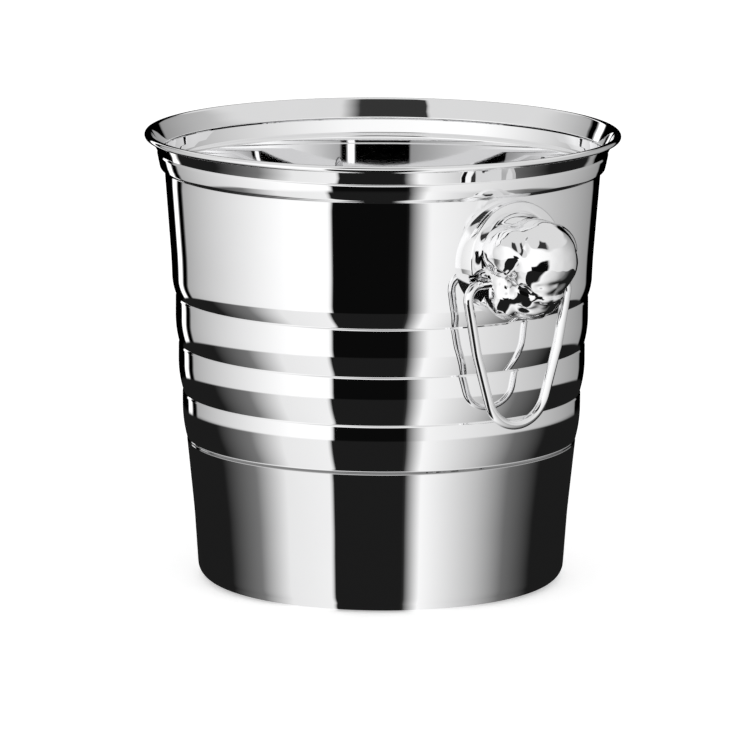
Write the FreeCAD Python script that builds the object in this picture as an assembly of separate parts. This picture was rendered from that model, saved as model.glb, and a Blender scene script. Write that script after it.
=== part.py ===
import FreeCAD, Part
import math
import os

# Ice bucket of polished sheet steel with two cast ears, each carrying a swinging wire ring.
# Millimetres. +Z is up, the origin is the centre of the underside of the base,
# and the ears stand on +X (front) and -X (rear).

# ---- Bucket: outer profile from the base to the lip ----
SHEET = 0.8                  # wall thickness
HEIGHT = 205.6
RECESS_RADIUS = 55.0         # shallow raised panel in the middle of the base
RECESS_DEPTH = 1.4
RECESS_RAMP = 5.0
BASE_RADIUS = 83.1           # where wall and base would meet without the corner round
BASE_CORNER = 7.2
BEND = 2.5                   # round of the pressed bends in the base panel
WALL_FOOT = (83.8, 9.0)      # (radius, height) points of the outer wall
WALL_FOOT_ROUND = 100.0
WALL_WAIST = (85.3, 31.0)
STRETCH = 300.0              # very large round that blends two nearly straight tapers
CREASE_ROUND = 0.4           # each crease lies above a small ledge that leans inwards
LEDGE_ROUND = 0.9
LEDGE_SLOPE = 0.45           # ledge width for each millimetre of its height
# Each band is (crease radius, crease height, ledge height, shoulder radius, shoulder height,
# belly round).
BANDS = [
    (88.52, 64.5, 0.4, 90.7, 72.2, 58.0),
    (90.42, 86.8, 0.8, 92.65, 94.2, 48.0),
    (92.22, 109.0, 0.8, 93.95, 115.2, 45.0),
    (93.57, 131.0, 0.8, 95.4, 135.4, 24.0),
]
BODY_WAIST = (95.8, 147.0)
STEP = (98.95, 188.4)        # inside corner under the collar
STEP_ROUND = 0.9
COLLAR_FOOT = (100.9, 189.2)
COLLAR_FOOT_ROUND = 1.8
COLLAR_BELLY = (101.55, 192.0)
COLLAR_BELLY_ROUND = 12.0
COLLAR_TOP = (102.0, 196.8)  # crease between the collar and the flare
COLLAR_LEDGE = 0.8
LIP_RADIUS = 1.5             # outer radius of the curled lip
LIP_CENTRE = (106.6, HEIGHT - LIP_RADIUS)
LIP_TURN = 250.0             # degrees that the curl turns outwards and down

# ---- Ears ----
EAR_HEIGHT = 161.3           # height of the boss centre
BOSS_FOOT_RADIUS = 26.6
BOSS_FOOT_X = 94.0
BOSS_FACE_RADIUS = 25.3
BOSS_FACE_X = 103.2
BOSS_EDGE = 0.8
HEAD_LUMPS = [(118.2, 162.6, 18.9), (111.0, 153.6, 18.4), (101.5, 162.0, 20.5)]  # (x, z, radius)
CASTING_WALL = 3.0           # the casting is hollow behind
SCREW_POST = 4.6
PIVOT_POST = 5.2
PIVOT_POST_START = 9.0       # half distance between the two pivot posts
CHEEK_RADIUS = 8.0
CHEEK_HALF_WIDTH = 18.0
CHEEK_CLEAR = 8.0            # how far the bores and posts are cut past the cheeks
NOTCH_RISE = 4.5             # relief above the pivot where the wire turns
NOTCH_DEPTH = 3.1            # relief behind the pivot
NOTCH_REACH = 6.0            # relief in front of the pivot
NOTCH_DROP = 5.0             # relief below the boss
NOTCH_WIDTH = 20.0           # relief sideways, out past the casting
EAR_BACK_X = 85.0            # the casting starts inside the wall and is trimmed to fit it
EAR_CUT = (80.0, 140.0)      # start and end of cuts through the whole casting

# ---- Wire rings ----
WIRE_RADIUS = 2.2
BORE_CLEARANCE = 0.07
PIVOT_X = 103.5
PIVOT_HEIGHT = 151.5
PIN_END = 13.0               # half distance between the two ends of the wire
BORE_END = 12.5
SHOULDER_HALF = 28.5         # half width at pivot height, without the bend
SHOULDER_BEND = 6.5
KNEE = (22.2, 31.0)          # (half width, drop below the pivot)
KNEE_BEND = 60.0
LEG_SLOPE = 0.302            # half width lost per millimetre below the knee
TOE_BEND = 16.1

# ---- Fixings: two screws hold each ear from inside ----
SCREW_RISES = (-13.0, 12.0)  # heights of the screws from the boss centre
SCREW_RADIUS = 2.0
SCREW_HOLE = 2.25
TAPPED_HOLE = 2.05
SCREW_REACH = 7.5            # shank length past the outside of the wall
TAPPED_DEPTH = 8.5
SCREW_HEAD_RADIUS = 4.0
SCREW_HEAD_HEIGHT = 2.4
SCREW_HEAD_ROUND = 1.1
SHANK_OVERLAP = 0.5          # how far the shank runs into the head
SOCKET_RADIUS = 1.5
SOCKET_DEPTH = 1.3
WASHER_RADIUS = 4.5
WASHER_THICKNESS = 0.8
WASHER_BORE = 2.15
SEAL_RADIUS = 5.0
SEAL_THICKNESS = 1.2
SEAL_TRIM = 3.0              # the seal starts thicker by this and is trimmed to the curved wall

TOLERANCE = 1e-3
UP = FreeCAD.Vector(0, 0, 1)
ORIGIN = FreeCAD.Vector(0, 0, 0)
ALONG_X = FreeCAD.Vector(1, 0, 0)
ALONG_Y = FreeCAD.Vector(0, 1, 0)


def fillet_arc(before, corner, after, radius):
    """Return the start, middle and end of the arc that rounds a corner."""
    to_before = (before - corner).normalize()
    to_after = (after - corner).normalize()
    half_angle = to_before.getAngle(to_after) / 2
    reach = radius / math.tan(half_angle)
    bisector = (to_before + to_after).normalize()
    centre = corner + bisector * (radius / math.sin(half_angle))
    return corner + to_before * reach, centre - bisector * radius, corner + to_after * reach


def line(start, end):
    return Part.LineSegment(start, end).toShape()


def rounded_path(points, radii):
    """Return straight and round edges through the points; radii round the inner points."""
    edges = []
    start = points[0]
    for index in range(1, len(points) - 1):
        arc = fillet_arc(points[index - 1], points[index], points[index + 1], radii[index])
        first, middle, last = arc
        if (first - start).Length > TOLERANCE:
            edges.append(line(start, first))
        edges.append(Part.Arc(first, middle, last).toShape())
        start = last
    edges.append(line(start, points[-1]))
    return edges


def revolved(edges):
    """Solid of revolution about Z of the area that the edges close in."""
    face = Part.Face(Part.Wire(Part.__sortEdges__(edges)))
    return face.revolve(ORIGIN, UP, 360).Solids[0]


def section_point(radius, height):
    return FreeCAD.Vector(radius, 0, height)


def lip_heading():
    """Angle of the flare from vertical, so that it runs tangent into the curled lip."""
    run = LIP_CENTRE[0] - COLLAR_TOP[0]
    rise = LIP_CENTRE[1] - COLLAR_TOP[1]
    return math.atan2(run, rise) - math.asin((LIP_RADIUS - SHEET) / math.hypot(run, rise))


def lip_point(radius, angle):
    across = LIP_CENTRE[0] + radius * math.cos(angle)
    return section_point(across, LIP_CENTRE[1] + radius * math.sin(angle))


def crease(radius, height, ledge):
    """Corners of a crease and of the ledge below it."""
    ledge_top = (radius + ledge * LEDGE_SLOPE, height - ledge, LEDGE_ROUND)
    return [ledge_top, (radius, height, CREASE_ROUND)]


def outside_path():
    """Corner points and rounds of the outside, from the base centre up to where the lip curls."""
    corners = [
        (0.0, RECESS_DEPTH, 0.0),
        (RECESS_RADIUS, RECESS_DEPTH, BEND),
        (RECESS_RADIUS + RECESS_RAMP, 0.0, BEND),
        (BASE_RADIUS, 0.0, BASE_CORNER),
        (*WALL_FOOT, WALL_FOOT_ROUND),
        (*WALL_WAIST, STRETCH),
    ]
    for crease_radius, crease_height, ledge, shoulder_radius, shoulder_height, belly in BANDS:
        corners += crease(crease_radius, crease_height, ledge)
        corners.append((shoulder_radius, shoulder_height, belly))
    corners.append((*BODY_WAIST, STRETCH))
    corners.append((*STEP, STEP_ROUND))
    corners.append((*COLLAR_FOOT, COLLAR_FOOT_ROUND))
    corners.append((*COLLAR_BELLY, COLLAR_BELLY_ROUND))
    corners += crease(*COLLAR_TOP, COLLAR_LEDGE)
    points = [section_point(radius, height) for radius, height, bend in corners]
    points.append(lip_point(LIP_RADIUS - SHEET, math.pi - lip_heading()))
    return points, [bend for radius, height, bend in corners] + [0.0]


def inside_path():
    """The outside path moved inwards by the sheet thickness, with its rounds changed to match."""
    points, radii = outside_path()
    last = len(points) - 1
    moved = []
    rounds = []
    for index, point in enumerate(points):
        along_in = (point - points[index - 1]).normalize() if index > 0 else ALONG_X
        along_out = (points[index + 1] - point).normalize() if index < last else along_in
        left_in = FreeCAD.Vector(-along_in.z, 0, along_in.x)
        left_out = FreeCAD.Vector(-along_out.z, 0, along_out.x)
        middle = (left_in + left_out).normalize()
        moved.append(point + middle * (SHEET / middle.dot(left_in)))
        turns_left = along_in.x * along_out.z - along_in.z * along_out.x > 0
        rounds.append(radii[index] - SHEET if turns_left else radii[index] + SHEET)
    return moved, rounds


def make_bucket():
    """Sheet metal shell with its curled lip and the holes for the ear screws."""
    outside, outside_radii = outside_path()
    inside, inside_radii = inside_path()
    start_angle = math.pi - lip_heading()
    middle_angle = start_angle - math.radians(LIP_TURN / 2)
    end_angle = start_angle - math.radians(LIP_TURN)
    edges = rounded_path(outside, outside_radii) + rounded_path(inside, inside_radii)
    for radius in (LIP_RADIUS - SHEET, LIP_RADIUS):
        curl = [lip_point(radius, angle) for angle in (start_angle, middle_angle, end_angle)]
        edges.append(Part.Arc(*curl).toShape())
    edges.append(line(lip_point(LIP_RADIUS - SHEET, end_angle), lip_point(LIP_RADIUS, end_angle)))
    edges.append(line(outside[0], inside[0]))
    bucket = revolved(edges)
    for height in screw_heights():
        bucket = bucket.cut(rod(SCREW_HOLE, -LIP_CENTRE[0], LIP_CENTRE[0], height))
    return largest_solid(bucket)


def make_core(points, radii):
    """Solid that fills the space within a path from the axis, level with the path's last point."""
    top_centre = section_point(0, points[-1].z)
    edges = rounded_path(points, radii)
    edges.append(line(points[-1], top_centre))
    edges.append(line(top_centre, points[0]))
    return revolved(edges)


def rod(radius, start_x, end_x, height):
    """Cylinder along X at a height in the middle plane of the ear."""
    return Part.makeCylinder(radius, end_x - start_x, section_point(start_x, height), ALONG_X)


def cross_rod(radius, start_y, end_y):
    """Cylinder along Y on the pivot axis of the ring."""
    start = FreeCAD.Vector(PIVOT_X, start_y, PIVOT_HEIGHT)
    return Part.makeCylinder(radius, end_y - start_y, start, ALONG_Y)


def hexagon_prism(radius, start_x, depth, height):
    corners = []
    for index in range(7):
        angle = math.radians(60 * index)
        across = radius * math.cos(angle)
        corners.append(FreeCAD.Vector(start_x, across, height + radius * math.sin(angle)))
    return Part.Face(Part.makePolygon(corners)).extrude(FreeCAD.Vector(depth, 0, 0))


def largest_solid(shape):
    return max(shape.Solids, key=lambda solid: solid.Volume)


def screw_heights():
    return [EAR_HEIGHT + rise for rise in SCREW_RISES]


def wall_radius(height):
    """Outer radius of the straight upper wall."""
    share = (height - BODY_WAIST[1]) / (STEP[1] - BODY_WAIST[1])
    return BODY_WAIST[0] + share * (STEP[0] - BODY_WAIST[0])


def head_balls(inset):
    return [Part.makeSphere(radius - inset, section_point(x, z)) for x, z, radius in HEAD_LUMPS]


def make_boss():
    """Round boss that tapers out from the wall, with a rounded front edge."""
    widening = (BOSS_FOOT_RADIUS - BOSS_FACE_RADIUS) / (BOSS_FACE_X - BOSS_FOOT_X)
    depth = BOSS_FACE_X - EAR_BACK_X
    back_radius = BOSS_FACE_RADIUS + widening * depth
    back = section_point(EAR_BACK_X, EAR_HEIGHT)
    boss = Part.makeCone(back_radius, BOSS_FACE_RADIUS, depth, back, ALONG_X)
    front_edges = [edge for edge in boss.Edges
                   if edge.Closed and abs(edge.BoundBox.XMin - BOSS_FACE_X) < TOLERANCE]
    return boss.makeFillet(BOSS_EDGE, front_edges)


def make_cavity():
    """Hollow back of the casting, without the posts for the screws and the ends of the ring."""
    hollow = rod(BOSS_FACE_RADIUS - CASTING_WALL, EAR_BACK_X, BOSS_FACE_X - CASTING_WALL, EAR_HEIGHT)
    cavity = hollow.multiFuse(head_balls(CASTING_WALL))
    for height in screw_heights():
        cavity = cavity.cut(rod(SCREW_POST, *EAR_CUT, height))
    post_end = CHEEK_HALF_WIDTH + CHEEK_CLEAR
    for start_y in (PIVOT_POST_START, -post_end):
        cavity = cavity.cut(cross_rod(PIVOT_POST, start_y, start_y + post_end - PIVOT_POST_START))
        web = Part.makeBox(PIVOT_X - EAR_CUT[0], post_end - PIVOT_POST_START, 2 * PIVOT_POST)
        web.translate(FreeCAD.Vector(EAR_CUT[0], start_y, PIVOT_HEIGHT - PIVOT_POST))
        cavity = cavity.cut(web)
    return cavity


def make_notch(side):
    """Relief in the boss on one side, where the wire turns in towards its bore."""
    bottom = EAR_HEIGHT - BOSS_FOOT_RADIUS - NOTCH_DROP
    height = PIVOT_HEIGHT + NOTCH_RISE - bottom
    start_y = CHEEK_HALF_WIDTH if side > 0 else -CHEEK_HALF_WIDTH - NOTCH_WIDTH
    corner = FreeCAD.Vector(PIVOT_X - NOTCH_DEPTH, start_y, bottom)
    return Part.makeBox(NOTCH_DEPTH + NOTCH_REACH, NOTCH_WIDTH, height, corner)


def make_ear(core):
    """Cast ear on +X: round boss, domed head and cheeks that take the ends of the ring."""
    cheeks = cross_rod(CHEEK_RADIUS, -CHEEK_HALF_WIDTH, CHEEK_HALF_WIDTH)
    ear = make_boss().multiFuse(head_balls(0) + [cheeks])
    ear = ear.cut(make_cavity())
    ear = ear.cut(core)
    for side in (-1, 1):
        ear = ear.cut(make_notch(side))
        low, high = sorted((side * BORE_END, side * (CHEEK_HALF_WIDTH + CHEEK_CLEAR)))
        ear = ear.cut(cross_rod(WIRE_RADIUS + BORE_CLEARANCE, low, high))
    for height in screw_heights():
        ear = ear.cut(rod(TAPPED_HOLE, EAR_BACK_X, wall_radius(height) + TAPPED_DEPTH, height))
    return largest_solid(ear)


def make_ring():
    """Wire loop on +X, hanging straight down from its two turned-in ends."""
    point_drop = KNEE[1] + KNEE[0] / LEG_SLOPE
    half = [(PIN_END, 0.0, 0.0), (SHOULDER_HALF, 0.0, SHOULDER_BEND), (*KNEE, KNEE_BEND)]
    mirrored = [(-y, drop, bend) for y, drop, bend in reversed(half)]
    corners = half + [(0.0, point_drop, TOE_BEND)] + mirrored
    points = [FreeCAD.Vector(PIVOT_X, y, PIVOT_HEIGHT - drop) for y, drop, bend in corners]
    path = Part.Wire(rounded_path(points, [bend for y, drop, bend in corners]))
    section = Part.Wire(Part.makeCircle(WIRE_RADIUS, points[0], ALONG_Y))
    return largest_solid(path.makePipeShell([section], True, True))


def make_screw(head_x, height):
    """Button-head screw with a hexagon socket, with the back of its head at head_x."""
    front_x = head_x - SCREW_HEAD_HEIGHT
    head = rod(SCREW_HEAD_RADIUS, front_x, head_x, height)
    front_edges = [edge for edge in head.Edges
                   if edge.Closed and abs(edge.BoundBox.XMax - front_x) < TOLERANCE]
    head = head.makeFillet(SCREW_HEAD_ROUND, front_edges)
    shank = rod(SCREW_RADIUS, head_x - SHANK_OVERLAP, wall_radius(height) + SCREW_REACH, height)
    socket = hexagon_prism(SOCKET_RADIUS, front_x, SOCKET_DEPTH, height)
    return largest_solid(head.fuse(shank).cut(socket).removeSplitter())


def make_fixings(height, inside_core):
    """Screw, washer and seal at one height, stacked against the inside of the wall."""
    wall_inside = wall_radius(height) - SHEET
    washer_outer = wall_inside - SEAL_THICKNESS
    washer_inner = washer_outer - WASHER_THICKNESS
    bore = rod(WASHER_BORE, washer_inner, wall_inside + SEAL_TRIM, height)
    seal = rod(SEAL_RADIUS, washer_outer, wall_inside + SEAL_TRIM, height)
    seal = seal.common(inside_core).cut(bore)
    washer = rod(WASHER_RADIUS, washer_inner, washer_outer, height).cut(bore)
    screw = make_screw(washer_inner, height)
    return {"screw": screw, "washer": largest_solid(washer), "seal": largest_solid(seal)}


def rear_copy(shape):
    copy = shape.copy()
    copy.rotate(ORIGIN, UP, 180)
    return copy


def build():
    inside_core = make_core(*inside_path())
    front = {"ear": make_ear(make_core(*outside_path())), "ring": make_ring()}
    for place, height in zip(("lower", "upper"), screw_heights()):
        for name, shape in make_fixings(height, inside_core).items():
            front[place + "_" + name] = shape
    nodes = {"bucket_shell": make_bucket()}
    for name, shape in front.items():
        nodes["front_" + name] = shape
        nodes["rear_" + name] = rear_copy(shape)
    return nodes


os.makedirs("parts", exist_ok=True)
for node, shape in build().items():
    print(node, shape.ShapeType, shape.isValid(), round(shape.Volume, 1))
    shape.exportStep("parts/" + node + ".step")
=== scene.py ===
import math

import bmesh
import bpy
import numpy as np
from mathutils import Matrix, Vector


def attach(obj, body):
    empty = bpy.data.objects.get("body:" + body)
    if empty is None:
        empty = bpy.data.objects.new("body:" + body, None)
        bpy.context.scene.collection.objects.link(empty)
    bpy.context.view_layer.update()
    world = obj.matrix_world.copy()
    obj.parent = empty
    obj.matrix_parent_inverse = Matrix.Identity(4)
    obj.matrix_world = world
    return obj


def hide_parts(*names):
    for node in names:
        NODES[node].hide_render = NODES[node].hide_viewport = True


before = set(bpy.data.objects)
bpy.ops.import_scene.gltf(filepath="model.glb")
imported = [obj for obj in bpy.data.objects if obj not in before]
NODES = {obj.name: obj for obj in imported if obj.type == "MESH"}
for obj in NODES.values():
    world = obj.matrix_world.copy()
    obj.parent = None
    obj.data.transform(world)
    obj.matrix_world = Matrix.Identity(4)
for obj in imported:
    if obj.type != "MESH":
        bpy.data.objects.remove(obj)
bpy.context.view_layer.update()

MM = 0.001

# ---------------------------------------------------------------- camera
VIEW_TURN = math.radians(-35.5)      # the front ear is turned this far to the camera's right
TOWARD = (math.cos(VIEW_TURN), math.sin(VIEW_TURN), 0.0)
RIGHT = (-math.sin(VIEW_TURN), math.cos(VIEW_TURN), 0.0)
CAMERA_DISTANCE = 3.07
CAMERA_HEIGHT = 0.6629
CAMERA_ROLL = math.radians(0.29)
AIM_ACROSS = -0.0030
AIM_HEIGHT = 0.0930
LENS = 328.3


def make_camera():
    data = bpy.data.cameras.new("camera")
    data.sensor_width = 36.0
    data.lens = LENS
    data.clip_start = 0.1
    data.clip_end = 50.0
    place = Vector(TOWARD) * CAMERA_DISTANCE + Vector((0.0, 0.0, CAMERA_HEIGHT))
    target = Vector(RIGHT) * AIM_ACROSS + Vector((0.0, 0.0, AIM_HEIGHT))
    forward = (target - place).normalized()
    level = forward.cross(Vector((0.0, 0.0, 1.0))).normalized()
    up = level.cross(forward) * math.cos(CAMERA_ROLL) - level * math.sin(CAMERA_ROLL)
    side = forward.cross(up)
    turn = Matrix((side, up, -forward)).transposed()
    camera = bpy.data.objects.new("camera", data)
    camera.matrix_world = Matrix.Translation(place) @ turn.to_4x4()
    bpy.context.collection.objects.link(camera)
    bpy.context.scene.camera = camera


make_camera()


# ---------------------------------------------------------------- node helpers
class Tree:
    """Short ways to add and link shader nodes."""

    def __init__(self, tree):
        self.tree = tree
        tree.nodes.clear()

    def add(self, kind, **settings):
        node = self.tree.nodes.new(kind)
        for key, value in settings.items():
            setattr(node, key, value)
        return node

    def feed(self, socket, value):
        if isinstance(value, bpy.types.NodeSocket):
            self.tree.links.new(value, socket)
        else:
            socket.default_value = value

    def math(self, operation, *values, clamp=False):
        node = self.add("ShaderNodeMath", operation=operation, use_clamp=clamp)
        for socket, value in zip(node.inputs, values):
            self.feed(socket, value)
        return node.outputs[0]

    def dot(self, vector, axis):
        node = self.add("ShaderNodeVectorMath", operation="DOT_PRODUCT")
        self.feed(node.inputs[0], vector)
        node.inputs[1].default_value = axis
        return node.outputs["Value"]

    def smooth(self, value, low, high, to_low=0.0, to_high=1.0):
        node = self.add("ShaderNodeMapRange", interpolation_type="SMOOTHSTEP")
        for socket, item in zip(node.inputs, (value, low, high, to_low, to_high)):
            self.feed(socket, item)
        return node.outputs[0]

    def mix(self, factor, a, b):
        """a where factor is 0 and b where it is 1, for plain numbers."""
        node = self.add("ShaderNodeMix", data_type="FLOAT")
        for name, value in zip(("Factor", "A", "B"), (factor, a, b)):
            self.feed(node.inputs[name], value)
        return node.outputs[0]

    def ramp(self, value, stops, span=360.0, start=-180.0):
        """Piecewise linear brightness. stops are (position, level), positions from start."""
        node = self.add("ShaderNodeValToRGB")
        elements = node.color_ramp.elements
        while len(elements) > 1:
            elements.remove(elements[-1])
        for index, (position, level) in enumerate(stops):
            place = (position - start) / span
            item = elements[0] if index == 0 else elements.new(place)
            item.position = place
            item.color = (level, level, level, 1.0)
        self.feed(node.inputs[0], value)
        return node.outputs[0]

    def noise(self, vector, scale, detail=2.0, roughness=0.5, distortion=0.0):
        node = self.add("ShaderNodeTexNoise")
        self.feed(node.inputs["Vector"], vector)
        node.inputs["Scale"].default_value = scale
        node.inputs["Detail"].default_value = detail
        node.inputs["Roughness"].default_value = roughness
        node.inputs["Distortion"].default_value = distortion
        return node.outputs[0]

    def combine(self, x, y, z):
        node = self.add("ShaderNodeCombineXYZ")
        for socket, value in zip(node.inputs, (x, y, z)):
            self.feed(socket, value)
        return node.outputs[0]

    def split(self, vector):
        node = self.add("ShaderNodeSeparateXYZ")
        self.feed(node.inputs[0], vector)
        return node.outputs

    def turn_about_up(self, vector):
        """Compass angle of a vector from the camera side, as 0 to 1 for -180 to 180 degrees."""
        angle = self.math("ARCTAN2", self.dot(vector, RIGHT), self.dot(vector, TOWARD))
        return self.math("MULTIPLY_ADD", angle, 0.5 / math.pi, 0.5)


# ---------------------------------------------------------------- studio
# One long soft box wraps the camera side, with a strip light behind it on the left. A black flag
# hangs in front of the box. The table shows a pool of light on each side of the flag.
# Each light is a list of (angle, level), in degrees from the camera side, plus to its right.
SOFT_BOX = [(-134, 0.52), (-50, 1.38), (20, 1.24), (150, 0.38)]
STRIP_LIGHT = [(-149, 1.6), (-143, 1.6)]
FLAG = [(-27, 1.0), (14, 1.0), (26, 0.0)]
LEFT_POOL = [(-112, 0.014), (-82, 0.18), (-59, 0.85), (-30, 0.92)]
RIGHT_POOL = [(14, 0.02), (24, 1.0), (60, 0.54), (84, 0.15), (112, 0.014)]
EDGE = 1.5                             # degrees over which a light ends
CEILING_LEVEL = 0.92
CEILING_START = (26.0, 34.0)           # degrees of rise over which the ceiling takes over
FLAG_LOW_END = (-5.0, -1.5)            # the flag's lower part reaches up to here
FLAG_HIGH_START = (33.0, 36.0)         # a second part hangs higher, before the ceiling
FLAG_HIGH_END = (62.0, 68.0)
FLAG_LOW_LEVEL = 0.004
FLAG_HIGH_LEVEL = 0.045
ROOM_LEVEL = 0.9                       # what lights matt surfaces
BACKDROP_LEVEL = 1.0                   # what the camera sees
FLOOR_RADIUS = 6.0
FLOOR_DROP = -0.0002
FLOOR_COLOUR = (0.93, 0.93, 0.93, 1.0)
FLOOR_GLOW = 0.46
TABLE_RADIUS = 0.62
TABLE_DROP = -0.0004
TABLE_FADE = (0.42, 0.455)             # metres from the axis over which the table ends
# Level of the painted shadow on the glowing table card, outside its pools of light.
TABLE_SHADOW_LEVEL = 0.012
FOOT_RADIUS = 0.085                    # metres


def lit(*lights, dark=0.0):
    """Ramp stops for lights that fall to one dark level outside their ends."""
    stops = [(-180, dark)]
    for light in lights:
        stops += [(light[0][0] - EDGE, dark), *light, (light[-1][0] + EDGE, dark)]
    return stops


def make_studio():
    world = bpy.data.worlds.new("studio")
    bpy.context.scene.world = world
    world.use_nodes = True
    tree = Tree(world.node_tree)
    direction = tree.add("ShaderNodeTexCoord").outputs["Generated"]
    rise = tree.math("ARCSINE", tree.split(direction)[2])

    def over(span, start, end):
        return tree.smooth(rise, math.radians(span[0]), math.radians(span[1]), start, end)

    compass = tree.turn_about_up(direction)
    sides = tree.ramp(compass, lit(STRIP_LIGHT, SOFT_BOX))
    light = tree.mix(over(CEILING_START, 0.0, 1.0), sides, CEILING_LEVEL)
    flag = tree.ramp(compass, lit(FLAG))
    low = over(FLAG_LOW_END, 1.0, 0.0)
    high = tree.math("MULTIPLY", over(FLAG_HIGH_START, 0.0, 1.0), over(FLAG_HIGH_END, 1.0, 0.0))
    light = tree.mix(tree.math("MULTIPLY", flag, low), light, FLAG_LOW_LEVEL)
    light = tree.mix(tree.math("MULTIPLY", flag, high), light, FLAG_HIGH_LEVEL)
    path = tree.add("ShaderNodeLightPath")
    room = tree.mix(path.outputs["Is Glossy Ray"], ROOM_LEVEL, light)
    shown = tree.mix(path.outputs["Is Camera Ray"], room, BACKDROP_LEVEL)
    background = tree.add("ShaderNodeBackground")
    tree.feed(background.inputs["Strength"], shown)
    output = tree.add("ShaderNodeOutputWorld")
    tree.feed(output.inputs["Surface"], background.outputs[0])


def disc(name, radius, height, segments=96):
    mesh = bpy.data.meshes.new(name)
    shape = bmesh.new()
    bmesh.ops.create_circle(shape, cap_ends=True, segments=segments, radius=radius)
    shape.to_mesh(mesh)
    shape.free()
    thing = bpy.data.objects.new(name, mesh)
    thing.location = (0.0, 0.0, height)
    bpy.context.collection.objects.link(thing)
    return thing


def make_floor():
    floor = disc("floor", FLOOR_RADIUS, FLOOR_DROP)
    material = bpy.data.materials.new("pale_floor")
    material.use_nodes = True
    tree = Tree(material.node_tree)
    diffuse = tree.add("ShaderNodeBsdfDiffuse")
    diffuse.inputs["Color"].default_value = FLOOR_COLOUR
    glow = tree.add("ShaderNodeEmission")
    glow.inputs["Strength"].default_value = FLOOR_GLOW
    both = tree.add("ShaderNodeAddShader")
    tree.feed(both.inputs[0], diffuse.outputs[0])
    tree.feed(both.inputs[1], glow.outputs[0])
    tree.feed(tree.add("ShaderNodeOutputMaterial").inputs["Surface"], both.outputs[0])
    floor.data.materials.append(material)
    floor.visible_glossy = False


def make_shadow_and_light_card():
    """Glowing card on the table round the bucket, with painted pools of light and painted shadow,
    that only shows in reflections.
    """
    card = disc("shadow_and_light_card", TABLE_RADIUS, TABLE_DROP)
    material = bpy.data.materials.new("shadow_and_light_card")
    material.use_nodes = True
    tree = Tree(material.node_tree)
    place = tree.add("ShaderNodeTexCoord").outputs["Object"]
    parts = tree.split(place)
    squares = [tree.math("POWER", part, 2.0) for part in (parts[0], parts[1])]
    reach = tree.math("SQRT", tree.math("ADD", *squares))
    # A pool edge that narrows toward the foot this way mirrors as an upright line in the wall.
    nearness = tree.math("DIVIDE", FOOT_RADIUS, reach)
    narrow = tree.math("DIVIDE", 2.0, tree.math("SUBTRACT", 2.0, nearness))
    narrow = tree.math("MINIMUM", narrow, 2.0)
    turn = tree.math("SUBTRACT", tree.turn_about_up(place), 0.5)
    turn = tree.math("MULTIPLY_ADD", turn, narrow, 0.5, clamp=True)
    # Painted light and shade: the card glows with two pools of light and painted shadow elsewhere.
    near = tree.ramp(turn, lit(LEFT_POOL, RIGHT_POOL, dark=TABLE_SHADOW_LEVEL))
    glow = tree.add("ShaderNodeEmission")
    tree.feed(glow.inputs["Strength"], near)
    clear = tree.add("ShaderNodeBsdfTransparent")
    both = tree.add("ShaderNodeMixShader")
    tree.feed(both.inputs[0], tree.smooth(reach, *TABLE_FADE))
    tree.feed(both.inputs[1], glow.outputs[0])
    tree.feed(both.inputs[2], clear.outputs[0])
    tree.feed(tree.add("ShaderNodeOutputMaterial").inputs["Surface"], both.outputs[0])
    card.data.materials.append(material)
    card.visible_camera = False
    card.visible_diffuse = False
    card.visible_shadow = False


make_studio()
make_floor()
make_shadow_and_light_card()
bpy.context.scene.view_settings.view_transform = "Standard"


# ---------------------------------------------------------------- materials
BLOTCH = 0.35                          # how far the polish varies, as a share of its roughness
# Painted shade: the lowest crease is darkened in the sheet's base colour at this height, over this
# reach, to this level.
PAINTED_SHADE_CREASE = 0.0648                  # height in metres
PAINTED_SHADE_REACH = (0.0004, 0.0010)
PAINTED_SHADE_LEVEL = 0.30


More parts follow.
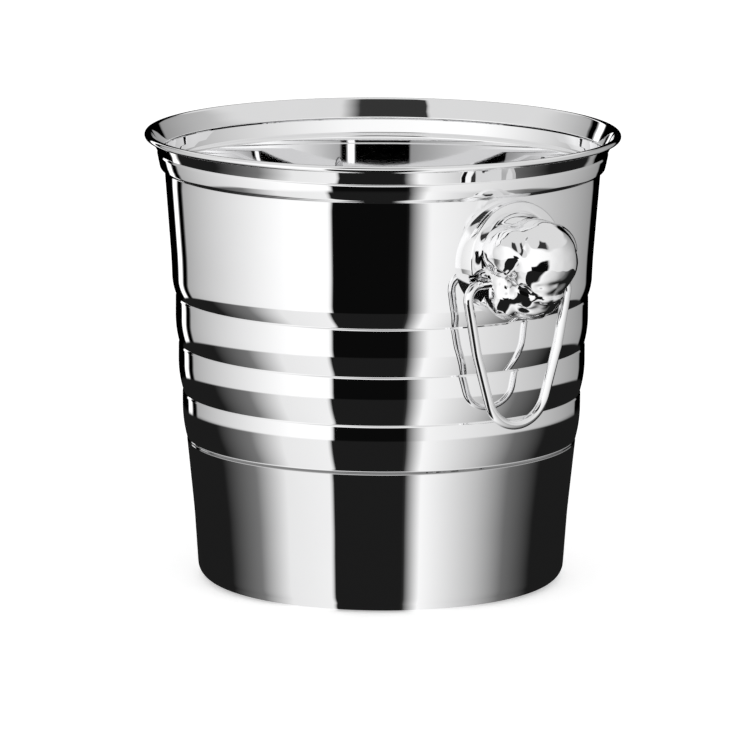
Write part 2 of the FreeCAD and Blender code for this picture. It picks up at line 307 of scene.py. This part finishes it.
def metal(name, colour, rough, wobble, wobble_scale, grain, spun=False):
    """Polished metal: uneven polish, a slight wobble and, if spun, fine ring marks and painted
    shade along the lowest crease.
    """
    material = bpy.data.materials.new(name)
    material.use_nodes = True
    tree = Tree(material.node_tree)
    place = tree.add("ShaderNodeTexCoord").outputs["Object"]
    shader = tree.add("ShaderNodeBsdfPrincipled")
    shader.inputs["Metallic"].default_value = 1.0
    smudge = tree.noise(place, 26.0, 4.0, 0.62)
    if spun:
        parts = tree.split(place)
        turn = tree.math("ARCTAN2", parts[1], parts[0])
        around, up = tree.math("MULTIPLY", turn, 0.6), tree.math("MULTIPLY", parts[2], 900.0)
        rings = tree.combine(around, 0.0, up)
        lines = tree.noise(rings, 1.0, 3.0, 0.7)
        patch = tree.smooth(tree.noise(place, 14.0, 2.0, 0.5), 0.45, 0.75)
        middle = tree.math("SUBTRACT", lines, 0.5)
        streak = tree.math("MULTIPLY", middle, tree.mix(patch, 0.35, 1.0))
    else:
        streak = tree.math("SUBTRACT", tree.noise(place, 420.0, 3.0, 0.6), 0.5)
    uneven = tree.smooth(smudge, 0.3, 0.75, rough * (1 - BLOTCH), rough * (1 + BLOTCH))
    roughness = tree.math("MULTIPLY_ADD", streak, rough * 0.9, uneven, clamp=True)
    tree.feed(shader.inputs["Roughness"], roughness)
    tone_and_crease_shade = tree.math("MULTIPLY_ADD", tree.math("SUBTRACT", smudge, 0.5), 0.05, 1.0)
    if spun:
        # Painted shade: the base colour is darkened along the lowest crease to dim the line it
        # reflects. The cause of its darker look is not known.
        gap = tree.math("ABSOLUTE", tree.math("SUBTRACT", tree.split(place)[2], PAINTED_SHADE_CREASE))
        tone_and_crease_shade = tree.math("MULTIPLY", tone_and_crease_shade, tree.smooth(gap, *PAINTED_SHADE_REACH, PAINTED_SHADE_LEVEL, 1.0))
    shade = [tree.math("MULTIPLY", tone_and_crease_shade, part) for part in colour]
    tree.feed(shader.inputs["Base Color"], tree.combine(*shade))
    bump = tree.add("ShaderNodeBump")
    bump.inputs["Strength"].default_value = 1.0
    bump.inputs["Distance"].default_value = 1.0
    wave = tree.math("MULTIPLY", tree.noise(place, wobble_scale, 1.0, 0.4), wobble)
    tree.feed(bump.inputs["Height"], tree.math("MULTIPLY_ADD", streak, grain, wave))
    tree.feed(shader.inputs["Normal"], bump.outputs[0])
    tree.feed(tree.add("ShaderNodeOutputMaterial").inputs["Surface"], shader.outputs[0])
    return material


SHEET_STEEL = metal("polished_sheet", (0.94, 0.94, 0.945), rough=0.02,
                    wobble=2.0e-5, wobble_scale=30.0, grain=1.5e-7, spun=True)
CAST_CHROME = metal("cast_chrome", (0.95, 0.95, 0.955), rough=0.05,
                    wobble=6.0e-5, wobble_scale=120.0, grain=2.0e-6)
WIRE_CHROME = metal("wire_chrome", (0.95, 0.95, 0.955), rough=0.03,
                    wobble=2.0e-5, wobble_scale=150.0, grain=1.0e-6)
FIXING_STEEL = metal("fixing_steel", (0.72, 0.72, 0.73), rough=0.22,
                     wobble=1.0e-5, wobble_scale=400.0, grain=4.0e-6)


def make_rubber():
    material = bpy.data.materials.new("seal_rubber")
    material.use_nodes = True
    tree = Tree(material.node_tree)
    place = tree.add("ShaderNodeTexCoord").outputs["Object"]
    shader = tree.add("ShaderNodeBsdfPrincipled")
    bloom = tree.noise(place, 700.0, 4.0, 0.6)
    tree.feed(shader.inputs["Roughness"], tree.smooth(bloom, 0.3, 0.7, 0.55, 0.8))
    level = tree.smooth(bloom, 0.3, 0.8, 0.015, 0.035)
    tree.feed(shader.inputs["Base Color"], tree.combine(level, level, level))
    bump = tree.add("ShaderNodeBump")
    bump.inputs["Distance"].default_value = 2.0e-5
    tree.feed(bump.inputs["Height"], bloom)
    tree.feed(shader.inputs["Normal"], bump.outputs[0])
    tree.feed(tree.add("ShaderNodeOutputMaterial").inputs["Surface"], shader.outputs[0])
    return material


RUBBER = make_rubber()


def paint(thing, material):
    thing.data.materials.clear()
    thing.data.materials.append(material)


# ---------------------------------------------------------------- bucket shell
# Millimetres. A corner of the outline is (radius, height, round).
SHEET = 0.8
BASE_RISE = 1.4                        # the middle of the base stands this far off the table
BASE = [(0.0, BASE_RISE, 0.0), (55.0, BASE_RISE, 2.5), (60.0, 0.0, 2.5), (83.1, 0.0, 7.2)]
FOOT = [(83.8, 9.0, 100.0), (85.3, 31.0, 300.0)]
# Each band is the radius, height and ledge of its crease, then the corner of its belly.
BANDS = [
    ((88.52, 64.5, 0.4), (90.7, 72.2, 58.0)),
    ((90.42, 86.8, 0.8), (92.65, 94.2, 48.0)),
    ((92.22, 109.0, 0.8), (93.95, 115.2, 45.0)),
    ((93.57, 131.0, 0.8), (95.4, 135.4, 24.0)),
]
BODY_WAIST = (95.8, 147.0, 300.0)
STEP = (98.95, 188.4)
STEP_ROUND = 0.9
COLLAR = [(100.9, 189.2, 1.8), (101.55, 192.0, 12.0)]
COLLAR_LEDGE = 0.8
LEDGE_SLOPE = 0.45
HEIGHT = 205.6
LIP_RADIUS = 1.5
LIP_CENTRE = (106.6, HEIGHT - LIP_RADIUS)
LIP_TURN = 250.0
LIP_STEPS = 28
COLLAR_TOP = (102.0, 196.8)
ROUND_STEP = math.radians(9.0)         # longest turn of one facet on a round
LONGEST = 4.0                          # longest straight facet
SEGMENTS = 288


def crease(radius, height, ledge):
    return [(radius + ledge * LEDGE_SLOPE, height - ledge, 0.9), (radius, height, 0.4)]


def lip_heading():
    run, rise = LIP_CENTRE[0] - COLLAR_TOP[0], LIP_CENTRE[1] - COLLAR_TOP[1]
    return math.atan2(run, rise) - math.asin((LIP_RADIUS - SHEET) / math.hypot(run, rise))


def lip_point(radius, angle):
    across, up = LIP_CENTRE
    return Vector((across + radius * math.cos(angle), up + radius * math.sin(angle)))


def outside_corners():
    """(radius, height, round) of the outside from the base centre to the foot of the lip."""
    corners = BASE + FOOT
    for fold, belly in BANDS:
        corners += crease(*fold) + [belly]
    corners += [BODY_WAIST, (*STEP, STEP_ROUND)] + COLLAR
    return corners + crease(*COLLAR_TOP, COLLAR_LEDGE)


def offset(points, radii, distance):
    """The path moved to its left, with its rounds changed to match."""
    moved, rounds = [], []
    last = len(points) - 1
    for index, point in enumerate(points):
        along_in = (point - points[index - 1]).normalized() if index else Vector((1.0, 0.0))
        along_out = (points[index + 1] - point).normalized() if index < last else along_in
        left = Vector((-along_in.y, along_in.x))
        middle = (left + Vector((-along_out.y, along_out.x))).normalized()
        moved.append(point + middle * (distance / middle.dot(left)))
        rounds.append(radii[index] - math.copysign(distance, along_in.cross(along_out)))
    return moved, rounds


def sampled(points, radii):
    """Points along the path with its corners rounded; long straights and rounds are divided."""
    path = [points[0]]
    for index in range(1, len(points)):
        stops = [points[index]]
        if index < len(points) - 1:
            corner, radius = points[index], radii[index]
            back = (points[index - 1] - corner).normalized()
            on = (points[index + 1] - corner).normalized()
            half = back.angle(on) / 2
            centre = corner + (back + on).normalized() * (radius / math.sin(half))
            first = corner + back * (radius / math.tan(half))
            last = corner + on * (radius / math.tan(half))
            sweep = math.pi - 2 * half
            by_length = math.ceil(sweep * radius / (LONGEST * 0.4))
            count = max(4, math.ceil(sweep / ROUND_STEP), by_length)
            spin = math.copysign(sweep, (first - centre).cross(last - centre))
            stops = [centre + Matrix.Rotation(spin * step / count, 2) @ (first - centre)
                     for step in range(count + 1)]
        run = (stops[0] - path[-1]).length
        pieces = max(1, math.ceil(run / LONGEST))
        path += [path[-1].lerp(stops[0], step / pieces) for step in range(1, pieces)] + stops
    return path


def shell_profile():
    """Closed section of the sheet, from the middle of the underside round to the middle inside."""
    corners = outside_corners()
    start = math.pi - lip_heading()
    points = [Vector(corner[:2]) for corner in corners] + [lip_point(LIP_RADIUS - SHEET, start)]
    radii = [corner[2] for corner in corners] + [0.0]
    inside, inside_radii = offset(points, radii, SHEET)
    inside[0] = Vector((0.0, BASE_RISE + SHEET))
    inside[-1] = lip_point(LIP_RADIUS, start)
    turns = [start - math.radians(LIP_TURN) * step / LIP_STEPS for step in range(LIP_STEPS + 1)]
    curl = [lip_point(LIP_RADIUS - SHEET, turn) for turn in turns[1:]]
    outer = [lip_point(LIP_RADIUS, turn) for turn in reversed(turns)]
    back = list(reversed(sampled(inside, inside_radii)))
    return sampled(points, radii) + curl + outer + back[1:]


def lathe(name, profile, segments):
    """Closed mesh of revolution about Z. The profile is in millimetres, from axis to axis."""
    angles = [2 * math.pi * s / segments for s in range(segments)]
    ring = [(math.cos(angle), math.sin(angle)) for angle in angles]
    low = Vector((0.0, 0.0, profile[0].y * MM))
    high = Vector((0.0, 0.0, profile[-1].y * MM))
    verts = [low, high]
    for point in profile[1:-1]:
        verts += [(point.x * MM * c, point.x * MM * s, point.y * MM) for c, s in ring]
    rows = len(profile) - 2
    faces = []
    for s in range(segments):
        n = (s + 1) % segments
        faces.append((0, 2 + n, 2 + s))
        top = 2 + (rows - 1) * segments
        faces.append((1, top + s, top + n))
        for row in range(rows - 1):
            a, b = 2 + row * segments, 2 + (row + 1) * segments
            faces.append((a + s, a + n, b + n, b + s))
    mesh = bpy.data.meshes.new(name)
    mesh.from_pydata(verts, [], faces)
    mesh.polygons.foreach_set("use_smooth", [True] * len(faces))
    thing = bpy.data.objects.new(name, mesh)
    bpy.context.collection.objects.link(thing)
    return thing


shell = lathe("bucket_sheet", shell_profile(), SEGMENTS)
paint(shell, SHEET_STEEL)
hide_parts("bucket_shell")
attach(shell, "bucket")

# ---------------------------------------------------------------- ears
# Lumps of the casting as (centre, radii), in millimetres; those off the middle plane are doubled.
HEAD_LUMPS = [
    ((118.2, 0.0, 162.9), (18.7, 17.2, 18.4)),
    ((112.0, 0.0, 151.0), (16.8, 16.2, 15.6)),
    ((101.5, 0.0, 161.5), (15.0, 20.0, 21.5)),
    ((111.8, 9.7, 166.3), (15.8, 11.9, 12.2)),
    ((108.0, 9.4, 148.4), (11.5, 9.6, 12.6)),
    ((103.5, 13.5, 151.8), (7.4, 5.2, 8.0)),
    ((123.5, 0.0, 147.0), (6.4, 9.5, 3.8)),
    ((126.0, 9.6, 161.2), (3.4, 3.6, 3.0)),
]
# Dents and swellings as (centre, reach, height): the surface moves by height at the centre.
HEAD_DENTS = [
    ((128.6, 10.6, 165.8), 2.0, -1.2),
    ((124.0, 13.5, 174.0), 2.6, -0.9),
    ((126.5, 13.6, 169.5), 1.7, -1.0),
    ((122.5, 15.5, 162.5), 2.0, -1.1),
    ((120.0, 16.0, 157.5), 2.2, -1.0),
    ((129.0, 6.0, 155.6), 3.0, -1.5),
    ((131.0, 0.0, 154.6), 3.4, -1.6),
    ((124.0, 11.0, 153.0), 2.6, -1.2),
    ((112.0, 8.0, 179.0), 3.4, -0.7),
    ((107.0, 16.5, 176.0), 3.4, -0.7),
    ((119.5, 6.0, 180.0), 3.0, -0.5),
    ((116.5, 15.0, 151.0), 2.2, -1.0),
    ((120.0, 9.5, 141.5), 3.5, -0.8),
    ((111.5, 15.5, 143.0), 2.6, 0.8),
    ((126.5, 3.0, 142.0), 3.0, -0.7),
    ((134.0, 3.0, 171.0), 5.0, 0.4),
]
BOSS_SECTION = [(85.0, 27.87), (94.0, 26.6), (102.5, 25.4), (103.0, 25.1), (103.2, 24.6)]
BOSS_CENTRE = 161.3
PIVOT = (103.5, 151.5)
CHEEK_ROD = [(-18.0, 6.6), (-17.0, 7.6), (-16.0, 8.0), (16.0, 8.0), (17.0, 7.6), (18.0, 6.6)]
BORE_RADIUS = 2.27
BORE_SPAN = (12.5, 30.0)
SOCKET_SHIFT = (-0.3, 19.0, 2.6)       # from the pivot; the middle value is sideways
SOCKET_RADII = (2.5, 6.0, 4.4)
NOTCH_CENTRE = (105.0, 29.0, 142.0)
NOTCH_SIZE = (9.2, 22.0, 28.0)
CORE_TOP = 192.0                       # above the highest point of the bosses inside the wall
VOXEL = 0.0006                         # metres
WELD = 4e-6                            # metres
FINE_WELD = 1e-6                       # metres
SHARP_EDGE = math.radians(38.0)


def baked(thing):
    """The object with its modifiers made final."""
    graph = bpy.context.evaluated_depsgraph_get()
    mesh = bpy.data.meshes.new_from_object(thing.evaluated_get(graph))
    thing.modifiers.clear()
    thing.data = mesh
    return thing


def both_sides(item):
    """The item and, where its centre is off the middle plane, its mirror image."""
    centre = item[0]
    sides = (1, -1) if centre[1] else (1,)
    return [((centre[0], centre[1] * side, centre[2]), *item[1:]) for side in sides]


def add_lump(shape, centre, radii):
    """Ellipsoid added to the shape."""
    place = Matrix.Translation(Vector(centre) * MM) @ Matrix.Diagonal((*(Vector(radii) * MM), 1.0))
    bmesh.ops.create_icosphere(shape, subdivisions=5, radius=1.0, matrix=place)


def add_turned(shape, section, axis, middle, segments=96):
    """Closed solid of revolution. section is (place along the axis from middle, radius)."""
    turn = Vector((0.0, 0.0, 1.0)).rotation_difference(Vector(axis)).to_matrix()
    rings = []
    for along, radius in section:
        ring = []
        for s in range(segments):
            a = 2 * math.pi * s / segments
            spot = turn @ Vector((radius * math.cos(a), radius * math.sin(a), along))
            ring.append(shape.verts.new((spot + Vector(middle)) * MM))
        rings.append(ring)
    shape.faces.new(list(reversed(rings[0])))
    shape.faces.new(rings[-1])
    for low, high in zip(rings, rings[1:]):
        for s in range(segments):
            n = (s + 1) % segments
            shape.faces.new((low[s], low[n], high[n], high[s]))


def from_bmesh(name, shape):
    mesh = bpy.data.meshes.new(name)
    shape.to_mesh(mesh)
    shape.free()
    thing = bpy.data.objects.new(name, mesh)
    bpy.context.collection.objects.link(thing)
    return thing


def displace(mesh, dents):
    """Moves the vertices along their normals by the dents and by a gentle cast unevenness."""
    count = len(mesh.vertices)
    spots, normals = np.empty(count * 3), np.empty(count * 3)
    mesh.vertices.foreach_get("co", spots)
    mesh.vertices.foreach_get("normal", normals)
    spots, normals = spots.reshape(-1, 3) / MM, normals.reshape(-1, 3)
    move = np.zeros(count)
    for centre, reach, height in dents:
        away = ((spots - np.array(centre)) ** 2).sum(1)
        move += height * np.exp(-away / (2 * reach ** 2))
    x, y, z = spots[:, 0], np.abs(spots[:, 1]), spots[:, 2]
    rough = np.sin(0.55 * x + 1.3 * np.sin(0.41 * z))
    rough *= np.sin(0.62 * y + 0.9 * np.sin(0.37 * x) + 0.5)
    rough += 0.6 * np.sin(0.93 * z + 0.7 * np.sin(0.8 * y)) * np.sin(0.85 * x + 0.4 * y)
    forward = np.clip((x - 104.0) / 6.0, 0.0, 1.0)
    under = np.clip((158.0 - z) / 6.0, 0.0, 1.0)
    move += (0.10 + 0.22 * under) * rough * forward
    spots += normals * move[:, None]
    mesh.vertices.foreach_set("co", (spots * MM).ravel())


def weld(mesh):
    """Closes the hairline slivers that a cut leaves, so the next cut starts from a clean solid."""
    shape = bmesh.new()
    shape.from_mesh(mesh)
    bmesh.ops.remove_doubles(shape, verts=shape.verts, dist=WELD)
    bmesh.ops.dissolve_degenerate(shape, edges=shape.edges, dist=WELD)
    bmesh.ops.recalc_face_normals(shape, faces=shape.faces)
    shape.to_mesh(mesh)
    shape.free()


def combine(thing, other, operation):
    """Joins or cuts the thing with another, and stops the script if the result falls apart."""
    before = len(thing.data.vertices)
    change = thing.modifiers.new("cut", "BOOLEAN")
    change.operation = operation
    change.solver = "MANIFOLD"
    change.object = other
    baked(thing)
    weld(thing.data)
    if len(thing.data.vertices) < before / 2:
        raise RuntimeError(f"{operation} with {other.name} lost most of {thing.name}")
    bpy.data.objects.remove(other)


def make_ear(name, sheet_core):
    """The casting on the front side, in place against the wall."""
    shape = bmesh.new()
    for item in HEAD_LUMPS:
        for centre, radii in both_sides(item):
            add_lump(shape, centre, radii)
    pivot = (PIVOT[0], 0.0, PIVOT[1])
    add_turned(shape, CHEEK_ROD, (0, 1, 0), pivot)
    head = from_bmesh(name, shape)
    remesh = head.modifiers.new("remesh", "REMESH")
    remesh.mode = "VOXEL"
    remesh.voxel_size = VOXEL
    soften = head.modifiers.new("soften", "SMOOTH")
    soften.factor = 0.5
    soften.iterations = 9
    baked(head)
    displace(head.data, [dent for item in HEAD_DENTS for dent in both_sides(item)])
    shape = bmesh.new()
    add_turned(shape, BOSS_SECTION, (1, 0, 0), (0.0, 0.0, BOSS_CENTRE), segments=160)
    combine(head, from_bmesh("boss", shape), "UNION")
    combine(head, sheet_core, "DIFFERENCE")
    for side in (-1, 1):
        shape = bmesh.new()
        bore = [(along, BORE_RADIUS) for along in sorted(side * end for end in BORE_SPAN)]
        add_turned(shape, bore, (0, 1, 0), pivot, segments=40)
        combine(head, from_bmesh("bore", shape), "DIFFERENCE")
        shape = bmesh.new()
        shift, sideways, rise = SOCKET_SHIFT
        add_lump(shape, (PIVOT[0] + shift, side * sideways, PIVOT[1] + rise), SOCKET_RADII)
        combine(head, from_bmesh("socket", shape), "DIFFERENCE")
        shape = bmesh.new()
        x, y, z = NOTCH_CENTRE
        place = Matrix.Translation(Vector((x, side * y, z)) * MM)
        place = place @ Matrix.Diagonal((*(size * MM for size in NOTCH_SIZE), 1.0))
        bmesh.ops.create_cube(shape, size=1.0, matrix=place)
        combine(head, from_bmesh("notch", shape), "DIFFERENCE")
    finish_mesh(head.data)
    return head


def finish_mesh(mesh):
    """Welds stray corners that the cuts leave and shades the mesh smooth up to its edges."""
    shape = bmesh.new()
    shape.from_mesh(mesh)
    bmesh.ops.remove_doubles(shape, verts=shape.verts, dist=FINE_WELD)
    bmesh.ops.recalc_face_normals(shape, faces=shape.faces)
    shape.to_mesh(mesh)
    shape.free()
    mesh.polygons.foreach_set("use_smooth", [True] * len(mesh.polygons))
    mesh.set_sharp_from_angle(angle=SHARP_EDGE)


def wall_core():
    """Solid that fills the bucket past the top of the bosses, to fit the ears to the wall."""
    corners = outside_corners()
    corners = corners[:corners.index((*STEP, STEP_ROUND))]
    points = [Vector(corner[:2]) for corner in corners]
    points += [Vector(STEP), Vector((STEP[0], CORE_TOP))]
    radii = [corner[2] for corner in corners] + [0.0, 0.0]
    return lathe("core", sampled(points, radii) + [Vector((0.0, CORE_TOP))], SEGMENTS)


front_ear = make_ear("front_ear_casting", wall_core())
rear_ear = bpy.data.objects.new("rear_ear_casting", front_ear.data.copy())
rear_ear.data.transform(Matrix.Rotation(math.pi, 4, "Z"))
bpy.context.collection.objects.link(rear_ear)
for ear, node in ((front_ear, "front_ear"), (rear_ear, "rear_ear")):
    paint(ear, CAST_CHROME)
    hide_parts(node)
    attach(ear, "bucket")

# ---------------------------------------------------------------- carried-over nodes
for name, node in NODES.items():
    if name.endswith("_ring"):
        paint(node, WIRE_CHROME)
    elif name.endswith("_seal"):
        paint(node, RUBBER)
    elif name.split("_")[-1] in ("screw", "washer"):
        paint(node, FIXING_STEEL)
